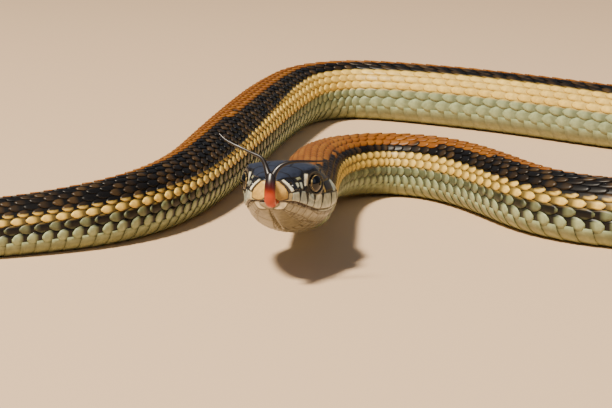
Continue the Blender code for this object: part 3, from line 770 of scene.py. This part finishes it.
# The shields of the head, each by its corners as (d, t) on the left side, its colour, and how
# wide a black margin it has. Those whose corners reach t = 0 or 1 join their mirror image.
# Dark slate for the crown, with a blue cast that is a painted reflection of the sky.
SLATE = linear("#242A3B")
SLATE_DEEP = linear("#15151B")
CREAM = linear("#CFA552")
# Near white: the pale preocular's own colour, and painted highlights on the nasal's edge and the
# front of the lower lip.
PALE = linear("#F0ECCF")
SAGE = linear("#8F9170")
# Dark brown of the sliver under the nasal: partly a seam, partly painted shadow.
UMBER = linear("#4A3820")
AMBER = linear("#D3BC82")
GOLD = linear("#CDB565")
LIP_GREEN = linear("#B4BDAE")
LIP_PALE = linear("#C4C7AE")
CHIN_CREAM = linear("#9C967E")
CHIN_TAN = linear("#807960")
SEAM_DARK = linear("#0F0C0B")
SEAM_BELOW = linear("#54482E")
BAR_BLACK = linear("#0B0908")
# Brown, and dark red towards the front, of painted shade in the slit of the mouth.
MOUTH_LINE = linear("#3A2616")
MOUTH_FRONT = linear("#2A0904")
# Black of painted shade inside the nostrils.
NOSTRIL_BLACK = linear("#050404")
EYE_RIM = linear("#0B0A0A")
# The pale colour of a painted highlight: a thin glint ring on the skin round each eye.
EYE_RIM_GLINT = linear("#8C8A72")
SHIELDS = (
    # The tip of the snout and the crown.
    (((-0.3, 0), (0.45, 0), (0.62, 0.18), (0.78, 0.3), (0.95, 0.47), (0.9, 0.58), (0.2, 0.66),
      (-0.3, 0.66)), CREAM, 0),
    (((0.45, 0), (0.62, 0.16), (1.2, 0.2), (2.4, 0.265), (2.8, 0)), SLATE, 0.05),
    (((2.8, 0), (2.4, 0.265), (4.2, 0.31), (5.2, 0.265), (5.3, 0.12), (5, 0)), SLATE, 0.05),
    (((5, 0), (5.3, 0.12), (9.4, 0.09), (10.6, 0)), SLATE, 0.05),
    (((5.3, 0.12), (5.2, 0.265), (6, 0.3), (8.9, 0.305), (9.9, 0.265), (9.4, 0.09)), SLATE, 0.05),
    (((10.6, 0), (9.4, 0.09), (9.9, 0.265), (12, 0.28), (14.6, 0.22), (16, 0.08), (15.9, 0)),
     SLATE, 0.05),
    # The side of the face, from the nostril back past the eye.
    # A dark brown sliver under the nasal's pale edge: partly the seam between rostral and nasal,
    # partly painted shadow under the edge.
    (((0.62, 0.18), (0.9, 0.19), (1.5, 0.475), (1.05, 0.475), (0.8, 0.3)), UMBER, 0),
    # The nasal's upper edge, painted near white: mostly a painted highlight where light catches the
    # edge of a pale scale.
    (((0.85, 0.2), (1.3, 0.205), (2.05, 0.455), (1.35, 0.475)), PALE, 0),
    (((1.25, 0.205), (2.4, 0.265), (2.6, 0.31), (2.7, 0.45), (1.9, 0.45)), SLATE_DEEP, 0.1),
    (((2.6, 0.335), (3.4, 0.345), (3.3, 0.45), (2.75, 0.45)), LIP_PALE, 0.05),
    (((3.45, 0.345), (4.35, 0.355), (3.95, 0.455), (3.38, 0.45)), LIP_GREEN, 0.08),
    (((2.45, 0.27), (4.2, 0.315), (5.15, 0.275), (4.4, 0.35), (2.6, 0.33)), SLATE_DEEP, 0.1),
    (((3.2, 0.285), (4.4, 0.29), (4.3, 0.335), (3.3, 0.335)), SAGE, 0),
    (((5.2, 0.275), (5.8, 0.31), (5.55, 0.40), (5.3, 0.475), (4.1, 0.475), (4.5, 0.37)), PALE, 0.12),
    (((9.5, 0.29), (10.6, 0.3), (11.2, 0.47), (9.8, 0.49)), GOLD, 0),
    (((11.1, 0.29), (14.4, 0.24), (14.6, 0.34), (11.2, 0.37)), SLATE_DEEP, 0.05),
    (((11.2, 0.37), (14, 0.35), (13.6, 0.44), (11, 0.46)), SLATE_DEEP, 0.05),
    (((14, 0.35), (16, 0.32), (16.4, 0.43), (13.6, 0.46)), LIP_GREEN, 0.05),
    # The upper lip.
    (((0.95, 0.475), (1.6, 0.475), (1.45, 0.645), (0.2, 0.655), (0.9, 0.58)), AMBER, 0),
    (((1.5, 0.475), (3.1, 0.462), (3.05, 0.645), (1.35, 0.645)), LIP_PALE, 0),
    (((3.1, 0.452), (4.8, 0.462), (5.05, 0.64), (3.05, 0.645)), LIP_GREEN, 0.05),
    (((4.8, 0.47), (7.2, 0.52), (6.95, 0.643), (5.05, 0.64)), LIP_GREEN, 0.05),
    (((7.2, 0.52), (10.1, 0.475), (9.3, 0.645), (6.95, 0.643)), LIP_PALE, 0.05),
    (((10.1, 0.47), (12.8, 0.45), (12.7, 0.62), (9.3, 0.645)), LIP_PALE, 0.05),
    (((12.8, 0.45), (15, 0.44), (14.8, 0.6), (12.7, 0.62)), LIP_PALE, 0.05),
    (((15, 0.44), (17, 0.45), (16.5, 0.57), (14.8, 0.6)), LIP_PALE, 0.05),
    # The lower lip and the chin.
    (((-0.3, 1), (-0.3, 0.68), (0.3, 0.69), (0.75, 0.8), (0.9, 1)), CHIN_CREAM, 0),
    # The front shield of the lower lip: pale, painted near white as a highlight where light falls on
    # it.
    (((0.3, 0.68), (1.6, 0.675), (1.8, 0.8), (1, 0.95), (0.75, 0.8)), PALE, 0),
    (((1.6, 0.675), (3, 0.67), (3.1, 0.78), (1.8, 0.8)), CHIN_CREAM, 0),
    (((3, 0.67), (4.5, 0.665), (4.6, 0.76), (3.1, 0.78)), CHIN_CREAM, 0),
    (((4.5, 0.665), (6.2, 0.665), (6.3, 0.76), (4.6, 0.76)), CHIN_CREAM, 0),
    (((6.2, 0.665), (8.2, 0.667), (8.3, 0.76), (6.3, 0.76)), CHIN_CREAM, 0),
    (((8.2, 0.667), (10.6, 0.66), (10.6, 0.74), (8.3, 0.76)), CHIN_CREAM, 0),
    (((10.6, 0.66), (13, 0.64), (13, 0.73), (10.6, 0.74)), CHIN_CREAM, 0),
    (((13, 0.64), (15.6, 0.62), (15.6, 0.72), (13, 0.73)), CHIN_CREAM, 0),
    (((1, 0.96), (1.8, 0.81), (4.7, 0.8), (4.9, 0.99), (1.1, 0.99)), CHIN_TAN, 0),
    (((4.9, 0.985), (4.7, 0.8), (8.3, 0.81), (9.2, 0.95)), CHIN_TAN, 0),
)
# The shields at the tip of the snout and between the eyes are single, across the middle.
MIDDLE_SHIELDS = (0, 3)
SHIELD_SINK = 0.05
SHIELD_DOME = 0.09
SEAM_WIDTH = 0.16
# Length and width of the small scales that fill in between the shields.
SMALL_SCALE = (1.5, 1.05)

# The black bars between the upper lip's shields, from their broad upper end to the lip.
LIP_BARS = (
    ((3.15, 0.44), (3.02, 0.57)), ((4.8, 0.45), (5, 0.6)), ((7.15, 0.5), (6.95, 0.61)),
    ((10.1, 0.46), (9.35, 0.61)), ((12.75, 0.44), (12.65, 0.57)), ((14.9, 0.44), (14.7, 0.52)),
    ((2, 0.462), (3.15, 0.447)), ((3.15, 0.447), (4.8, 0.457)), ((4.8, 0.46), (6, 0.5)),
    ((9.2, 0.487), (11.2, 0.463)), ((11.2, 0.463), (14.9, 0.45)), ((3.36, 0.35), (3.32, 0.45)),
    ((4.25, 0.36), (4.1, 0.46)), ((2.6, 0.31), (2.7, 0.45)), ((6, 0.5), (9.4, 0.49)),
)
BAR_HALF_WIDTH = (
    0.42, 0.55, 0.46, 0.42, 0.4, 0.24, 0.12, 0.24, 0.2, 0.2, 0.12, 0.1, 0.2, 0.14, 0.3,
)
BAR_TAPER = 0.75


MERIDIAN_LENGTH = 30.0
MERIDIAN_SHARE = 0.23


def head_meridian():
    """Distances d, and the length over the surface back from the tip of the snout to each."""
    near = DISTANCES < MERIDIAN_LENGTH
    return DISTANCES[near], path_length(SURFACE[near][:, int(COLUMNS * MERIDIAN_SHARE)])


MERIDIAN = head_meridian()


def from_snout(d):
    """Length over the surface back from the tip of the snout to d."""
    return np.interp(d, *MERIDIAN)


def girth(d):
    """Half the way round the skin at d."""
    steps = np.linalg.norm(np.roll(SURFACE, -1, axis=1) - SURFACE, axis=2).sum(axis=1)
    return np.interp(d, DISTANCES, steps) / 2.0


def from_line(s, t, half_girth, start, end):
    """Distance of points from a line over the head, and how far along it they lie."""
    line = np.stack([np.full(len(s), end[0] - start[0]), (end[1] - start[1]) * half_girth], axis=1)
    point = np.stack([s - start[0], (t - start[1]) * half_girth], axis=1)
    along = np.clip((line * point).sum(axis=1) / (line ** 2).sum(axis=1), 0.0, 1.0)
    return np.linalg.norm(point - line * along[:, None], axis=1), along


def shield_marks(d, t):
    """For points of the head: the shield each lies in, and the distance in to its edge."""
    s = from_snout(d)
    half_girth = girth(d)
    t = np.abs(t)
    which = np.full(len(d), -1)
    depth = np.zeros(len(d))
    for index, (corners, _, _) in enumerate(SHIELDS):
        corners = np.array(corners)
        corners[:, 0] = from_snout(corners[:, 0])
        inside = np.zeros(len(d), dtype=bool)
        away = np.full(len(d), 1e9)
        for start, end in zip(corners, np.roll(corners, -1, axis=0)):
            (s0, t0), (s1, t1) = start, end
            crosses = (t0 > t) != (t1 > t)
            reach = s0 + (t - t0) / np.where(t1 == t0, 1e-9, t1 - t0) * (s1 - s0)
            inside ^= crosses & (s < reach)
            if (t0 == t1 == 0.0 and index in MIDDLE_SHIELDS) or (t0 == t1 == 1.0):
                continue
            away = np.minimum(away, from_line(s, t, half_girth, start, end)[0])
        which[inside] = index
        depth[inside] = away[inside]
    row = t * half_girth / SMALL_SCALE[1]
    place = s / SMALL_SCALE[0] + 0.5 * (np.floor(row) % 2)
    lengthwise = (0.5 - np.abs(place % 1.0 - 0.5)) * SMALL_SCALE[0]
    crosswise = (0.5 - np.abs(row % 1.0 - 0.5)) * SMALL_SCALE[1]
    loose = which < 0
    depth[loose] = np.minimum(lengthwise, crosswise)[loose] * 0.8
    return which, depth


def bar_darkness(d, t):
    """How black the points of the head are with the bars of the upper lip."""
    s = from_snout(d)
    half_girth = girth(d)
    dark = np.zeros(len(d))
    for bar, half_width in zip(LIP_BARS, BAR_HALF_WIDTH):
        start, end = [(from_snout(bar_d), bar_t) for bar_d, bar_t in bar]
        away, along = from_line(s, np.abs(t), half_girth, start, end)
        width = half_width * (1.0 - BAR_TAPER * along)
        dark = np.maximum(dark, 1.0 - ramp(away, width - 0.07, width + 0.07))
    return dark


HEAD_END = 19.0
MOUTH_DEPTH = 0.26
NOSTRIL_PLACE = (1.87, 2.63, -0.53)
NOSTRIL_DEPTH = 0.35


def dress_head(d, t, points, colours):
    """Shape and paint the head: its shields, mouth, eye sockets and nostrils."""
    near = d < HEAD_END
    here_d = d[near]
    here_t = t[near]
    which, depth = shield_marks(here_d, here_t)
    fade = 1.0 - ramp(here_d, 15.0, 18.0)
    local = head_frame_of(points[near])
    outward = unit(head_frame_of(wrap(here_d, here_t, np.ones(len(here_d)))) - local)
    dome = (-SHIELD_SINK + SHIELD_DOME * ramp(depth, 0.0, SEAM_WIDTH)) * fade
    local = chin_groove(local + outward * dome[:, None], fade)

    throat = mix(CHIN_CREAM, CHIN_TAN, 0.5)
    below = ramp(np.abs(here_t), 0.6, 0.66)
    seam = mix(SEAM_DARK, SEAM_BELOW, below)
    small = mix(np.broadcast_to(SLATE_DEEP, seam.shape), throat, below)
    shade = mix(seam, small, ramp(depth, 0.02, 0.14))
    for index, (_, tone, margin) in enumerate(SHIELDS):
        inside = which == index
        filled = ramp(depth[inside], margin * 0.7, margin * 0.7 + SEAM_WIDTH)
        shade[inside] = mix(seam[inside], tone, filled)

    shade = mix(shade, BAR_BLACK, bar_darkness(here_d, here_t))
    lip = profile(LIP_HEIGHT, local[:, 0])
    mouth = np.abs(local[:, 2] - lip)
    open_mouth = (1.0 - ramp(local[:, 0], 15.6, 16.6)) * (np.abs(here_t) > 0.4)
    gap = (1.0 - ramp(mouth, 0.05, 0.17)) * open_mouth
    local = local - outward * (MOUTH_DEPTH * gap)[:, None]
    front = 1.0 - ramp(local[:, 0], 2.0, 6.0)
    # The sunk slit of the mouth is painted dark brown, redder at the front: painted shade in the gap
    # between the lips.
    shade = mix(shade, mix(MOUTH_LINE, MOUTH_FRONT, front), gap * 1.5)

    local, shade = eye_sockets(local, shade)
    # Each nostril is a shallow pit painted black: painted shade inside the opening.
    for side in (1.0, -1.0):
        centre = np.array(NOSTRIL_PLACE) * (1.0, side, 1.0)
        away = np.linalg.norm((local - centre) / (1.0, 1.0, 1.5), axis=1)
        pit = 1.0 - ramp(away, 0.12, 0.34)
        local = local - outward * (NOSTRIL_DEPTH * pit)[:, None]
        shade = mix(shade, NOSTRIL_BLACK, pit * 1.5)
    dressed = points.copy()
    dressed[near] = head_place(local)
    painted = colours.copy()
    painted[near] = mix(shade, colours[near], ramp(here_d, 16.0, 18.0))
    return dressed, painted


GROOVE_HALF_WIDTH = 0.22
GROOVE_DEPTH = 0.3


def chin_groove(local, fade):
    """Sink the groove between the shields under the chin."""
    u, y, z = local.T
    groove = np.exp(-(y / GROOVE_HALF_WIDTH) ** 2) * ramp(u, 0.9, 1.8) * (1.0 - ramp(u, 8.6, 10.0))
    lower = (z < profile(LIP_HEIGHT, u) - 0.3) * fade
    return local + (GROOVE_DEPTH * groove * lower)[:, None] * (0.0, 0.0, 1.0)


EYE_SPREAD = 2.4
EYE_STRETCH = 1.14
EYE_AZIMUTH = math.radians(62.0)
EYE_OUT = 0.2


def eye_frame(side):
    """The middle of an eye and the direction it looks in, in the head's frame."""
    centre = np.array((EYE_BACK, side * (EYE_HALF_SPACING + EYE_OUT), EYE_HEIGHT))
    return centre, np.array((-math.cos(EYE_AZIMUTH), side * math.sin(EYE_AZIMUTH), 0.0))


def eye_sockets(local, shade):
    """Shape the skin round each eye so that the eye looks out forward and to the side."""
    local = local.copy()
    for side in (1.0, -1.0):
        centre, axis = eye_frame(side)
        offset = local - centre
        along = offset @ axis
        level = np.array((axis[1], -axis[0], 0.0))
        true_radial = np.linalg.norm(offset - along[:, None] * axis, axis=1)
        radial = np.hypot(offset @ level / EYE_STRETCH, offset[:, 2])
        near = (along > -0.6) & (local[:, 1] * side > 1.5)
        rim = math.sqrt(EYE_RADIUS ** 2 - EYE_OPENING ** 2)
        ball = np.sqrt(np.maximum(EYE_RADIUS ** 2 - true_radial ** 2, 0.0)) - 0.25
        spread = ramp(radial, EYE_OPENING + 0.12, EYE_SPREAD)
        outside = rim + 0.08 + (along - rim) * spread
        target = np.where(radial < EYE_OPENING, np.minimum(ball, rim), outside)
        moved = local + axis * (target - along)[:, None]
        use = near & (radial < EYE_SPREAD)
        local[use] = moved[use]
        ring = (1.0 - ramp(radial, EYE_OPENING + 0.12, EYE_OPENING + 0.3)) * use
        shade = mix(shade, EYE_RIM, ring)
        # A painted highlight: a thin pale ring on the skin just outside the dark rim.
        glint = np.exp(-((radial - EYE_OPENING - 0.28) / 0.07) ** 2) * use
        shade = mix(shade, EYE_RIM_GLINT, 0.3 * glint)
    return local, shade


EYE_SEGMENTS = 72
PUPIL_RADIUS = 1.06
IRIS_RADIUS = 1.1
PUPIL_BLACK = linear("#020203")
IRIS_BROWN = linear("#6B5530")
IRIS_GOLD = linear("#B9A46C")
IRIS_FLECKS = 9.0


def make_eyes():
    """Two glossy eyes, each with a large black pupil in a thin gold iris."""
    items = []
    for side, mark in ((1.0, "left"), (-1.0, "right")):
        shape = bmesh.new()
        bmesh.ops.create_uvsphere(
            shape, u_segments=EYE_SEGMENTS, v_segments=EYE_SEGMENTS, radius=EYE_RADIUS
        )
        layer = shape.verts.layers.float_color.new("paint")
        centre, axis = eye_frame(side)
        for vert in shape.verts:
            offset = np.array(vert.co)
            along = float(offset @ axis)
            away = float(np.linalg.norm(offset - along * axis))
            iris = float(ramp(away, PUPIL_RADIUS - 0.03, PUPIL_RADIUS + 0.02))
            iris *= 1.0 - float(ramp(away, IRIS_RADIUS - 0.02, IRIS_RADIUS + 0.03))
            fleck = 0.5 + 0.5 * math.sin(IRIS_FLECKS * math.atan2(offset[2], offset[0]))
            vert[layer] = (*mix(PUPIL_BLACK, mix(IRIS_BROWN, IRIS_GOLD, fleck), iris), 1.0)
            vert.co = head_place(centre + offset) * MM
        bmesh.ops.recalc_face_normals(shape, faces=shape.faces)
        items.append(finished_piece("eyeball_" + mark, shape, EYE_SPECTACLE))
    return items


TONGUE_SIDE = 0.65
TONGUE_STEM = (
    (1.9, TONGUE_SIDE, -2.75, 0.55), (0.2, TONGUE_SIDE, -2.9, 0.62),
    (-1.2, TONGUE_SIDE, -3.15, 0.7), (-2.1, TONGUE_SIDE, -2.9, 0.75),
    (-2.5, TONGUE_SIDE, -1.9, 0.75), (-2.5, TONGUE_SIDE, -0.6, 0.72),
    (-2.1, TONGUE_SIDE, 0.6, 0.65),
)
RIGHT_TINE = (
    (-2.3, 0.5, 0.1, 0.5), (-1.9, -0.1, 1.5, 0.34), (-1.7, -0.8, 2.7, 0.27), (-1.6, -2, 3.3, 0.21),
    (-1.4, -3.9, 4.1, 0.17), (-0.9, -5.9, 5, 0.13), (-0.5, -7, 5.9, 0.07),
)
LEFT_TINE = (
    (-2.3, 0.8, 0.1, 0.5), (-2.1, 1.3, 1.2, 0.36), (-1.7, 2.3, 2.1, 0.28), (-1.1, 4, 2.5, 0.2),
    (-0.4, 6, 2.6, 0.14), (0.2, 8, 2.8, 0.08),
)
TONGUE_FLATNESS = 0.8
TONGUE_RINGS = 60
TONGUE_SIDES = 20
TONGUE_RED = linear("#B83800")
TONGUE_WINE = linear("#4A0A03")
TONGUE_BLACK = linear("#120B0B")


def tongue_tube(shape, route):
    """A soft tapering tube through (u, y, z, radius) points, added to a shape."""
    places, _, _ = smooth_line(route, TONGUE_RINGS)
    across = np.array((0.0, 1.0, 0.0))
    previous = None
    for i, place in enumerate(places):
        ahead = places[min(i + 1, len(places) - 1)]
        behind = places[max(i - 1, 0)]
        along = unit(ahead[:3] - behind[:3])
        across = unit(across - along * float(across @ along))
        other = np.cross(along, across)
        made = bmesh.ops.create_circle(shape, cap_ends=False, segments=TONGUE_SIDES, radius=1.0)
        ring = made["verts"]
        for vert in ring:
            x = vert.co.x * place[3]
            y = vert.co.y * place[3] * TONGUE_FLATNESS
            vert.co = place[:3] + across * x + other * y
        edges = [e for e in shape.edges if e.verts[0] in ring and e.verts[1] in ring]
        if previous is None:
            bmesh.ops.contextual_create(shape, geom=edges)
        else:
            bmesh.ops.bridge_loops(shape, edges=previous + edges)
        previous = edges
    bmesh.ops.contextual_create(shape, geom=previous)


def make_tongue():
    """The forked tongue, red at the lips and black to its tips."""
    shape = bmesh.new()
    for route in (TONGUE_STEM, RIGHT_TINE, LEFT_TINE):
        tongue_tube(shape, route)
    layer = shape.verts.layers.float_color.new("paint")
    for vert in shape.verts:
        wine = float(ramp(vert.co.z, -2.4, -1.0))
        dark = float(ramp(vert.co.z, -1.4, 0.1))
        vert[layer] = (*mix(mix(TONGUE_RED, TONGUE_WINE, wine), TONGUE_BLACK, dark), 1.0)
        vert.co = head_place(vert.co) * MM
    bmesh.ops.recalc_face_normals(shape, faces=shape.faces)
    return finished_piece("forked_tongue", shape, TONGUE_FLESH)


def add_node(tree, kind, inputs={}, **settings):
    """A node of a kind, with its inputs linked or given values, and its settings."""
    node = tree.nodes.new(kind)
    for name, value in settings.items():
        setattr(node, name, value)
    for name, value in inputs.items():
        if isinstance(value, bpy.types.NodeSocket):
            tree.links.new(value, node.inputs[name])
        else:
            node.inputs[name].default_value = value
    return node


def new_material(name):
    """An empty material with its output."""
    material = bpy.data.materials.new(name)
    material.use_nodes = True
    tree = material.node_tree
    tree.nodes.clear()
    output = add_node(tree, "ShaderNodeOutputMaterial")
    return material, tree, output


# Real skin is mottled in patches of this size.
MOTTLE_MM = 0.7


def painted_material(name, roughness, coat, grain_mm, grain_depth, mottle):
    """A material that takes its colour from the paint, lightly mottled and finely grained."""
    material, tree, output = new_material(name)
    paint = add_node(tree, "ShaderNodeAttribute", attribute_name="paint")
    where = add_node(tree, "ShaderNodeTexCoord")
    grain = add_node(tree, "ShaderNodeTexNoise", {
        "Vector": where.outputs["Object"], "Scale": 1.0 / (grain_mm * MM), "Detail": 3.0,
    })
    bump = add_node(tree, "ShaderNodeBump", {
        "Height": grain.outputs["Fac"], "Strength": 0.35, "Distance": grain_depth * MM,
    })
    cloud = add_node(tree, "ShaderNodeTexNoise", {
        "Vector": where.outputs["Object"], "Scale": 1.0 / (MOTTLE_MM * MM), "Detail": 2.0,
    })
    value = add_node(tree, "ShaderNodeMapRange", {
        "Value": cloud.outputs["Fac"], "From Min": 0.35, "From Max": 0.65,
        "To Min": 1.0 - mottle, "To Max": 1.0 + mottle * 0.5,
    })
    colour = add_node(tree, "ShaderNodeHueSaturation", {
        "Value": value.outputs["Result"], "Color": paint.outputs["Color"],
    })
    shader = add_node(tree, "ShaderNodeBsdfPrincipled", {
        "Base Color": colour.outputs["Color"], "Roughness": roughness,
        "Specular IOR Level": 0.35 if coat == 0.0 else 0.5,
        "Coat Weight": coat, "Coat Roughness": 0.2, "Normal": bump.outputs["Normal"],
    })
    tree.links.new(shader.outputs["BSDF"], output.inputs["Surface"])
    return material


# Keratin scales: dry, satin, faintly ridged.
SCALE_KERATIN = painted_material(
    "scale_keratin", roughness=0.42, coat=0.0, grain_mm=0.35, grain_depth=0.02, mottle=0.15
)
# Skin with the head's smooth shields, a little glossier than the body.
SNAKE_SKIN = painted_material(
    "snake_skin", roughness=0.38, coat=0.22, grain_mm=0.3, grain_depth=0.012, mottle=0.25
)
# The clear scale over the eye, wet-looking and without grain.
EYE_SPECTACLE = painted_material(
    "eye_spectacle", roughness=0.05, coat=0.15, grain_mm=0.5, grain_depth=0.0, mottle=0.0
)
# Moist tongue flesh.
TONGUE_FLESH = painted_material(
    "tongue_flesh", roughness=0.35, coat=0.2, grain_mm=0.4, grain_depth=0.01, mottle=0.1
)


def add_piece(piece, slot, *nodes):
    """Put a piece in the scene on the snake, in place of the part's nodes."""
    show(piece)
    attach(piece, "root")
    if nodes:
        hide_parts(*nodes)


BODY_NODES = ["neck"] + ["trunk_%d" % n for n in range(1, 12)] + ["tail_1", "tail_2", "tail_3"]

add_piece(make_skin(), "skin", "head", "lower_jaw", *BODY_NODES)
for scales_name, scales_start, scales_end in (
    ("scales_front", 14.0, 190.0),
    ("scales_middle", 190.0, 380.0),
    ("scales_rear", 380.0, 640.0),
):
    add_piece(make_scales(scales_name, scales_start, min(scales_end, LENGTH - 1.0)), "skin")
add_piece(make_belly("belly_plates", 20.0, VENT, False), "skin")
add_piece(make_belly("tail_plates", VENT, LENGTH - 1.5, True), "skin")
eye_left, eye_right = make_eyes()
add_piece(eye_left, "eye", "eye_left")
add_piece(eye_right, "eye", "eye_right")
add_piece(make_tongue(), "tongue", "tongue")


FLOOR_HALF_SIDE = 6.0


def make_floor():
    """A plain pale floor."""
    shape = bmesh.new()
    bmesh.ops.create_grid(shape, x_segments=1, y_segments=1, size=FLOOR_HALF_SIDE)
    material, tree, output = new_material("pale_floor")
    shader = add_node(tree, "ShaderNodeBsdfPrincipled", {
        "Base Color": (*linear("#DCBD9A"), 1.0), "Roughness": 0.9,
    })
    tree.links.new(shader.outputs["BSDF"], output.inputs["Surface"])
    floor = finished_piece("floor", shape, material)
    show(floor)


def add_light(name, place_m, size, power, colour):
    """A square soft light that faces the snake."""
    data = bpy.data.lights.new(name, "AREA")
    data.shape = "SQUARE"
    data.size = size
    data.energy = power
    data.color = tuple(linear(colour))
    item = bpy.data.objects.new(name, data)
    item.location = place_m
    item.rotation_euler = (-Vector(place_m)).to_track_quat("-Z", "Y").to_euler()
    show(item)


WORLD_STRENGTH = 0.2


def light_studio():
    """Soft daylight from the upper left in front, with a pale fill from all round."""
    add_light("key_light", (-0.45, -0.55, 1.1), size=0.16, power=40.0, colour="#FFF1DC")
    add_light("fill_light", (0.9, -0.9, 0.7), size=0.9, power=1.4, colour="#EAF0FF")
    world = bpy.data.worlds.new("studio")
    world.use_nodes = True
    background = world.node_tree.nodes["Background"]
    background.inputs["Color"].default_value = (*linear("#DCE4F2"), 1.0)
    background.inputs["Strength"].default_value = WORLD_STRENGTH
    bpy.context.scene.world = world


# The photo's view: a long lens, close to the ground and looking a little down.
CAMERA_BACK = -0.305
CAMERA_HEIGHT = 0.060
FOCAL_PIXELS = 1785.0
HORIZON_PIXELS = 374.0
PHOTO_WIDTH = 612.0


def add_camera():
    """The camera at the photo's viewpoint."""
    data = bpy.data.cameras.new("camera")
    data.sensor_width = 36.0
    data.lens = FOCAL_PIXELS * data.sensor_width / PHOTO_WIDTH
    data.clip_start = 0.01
    data.clip_end = 50.0
    camera = bpy.data.objects.new("camera", data)
    camera.location = (0.0, CAMERA_BACK, CAMERA_HEIGHT)
    tilt = math.atan(HORIZON_PIXELS / FOCAL_PIXELS)
    camera.rotation_euler = (math.pi / 2.0 - tilt, 0.0, 0.0)
    show(camera)
    bpy.context.scene.camera = camera


make_floor()
light_studio()
add_camera()
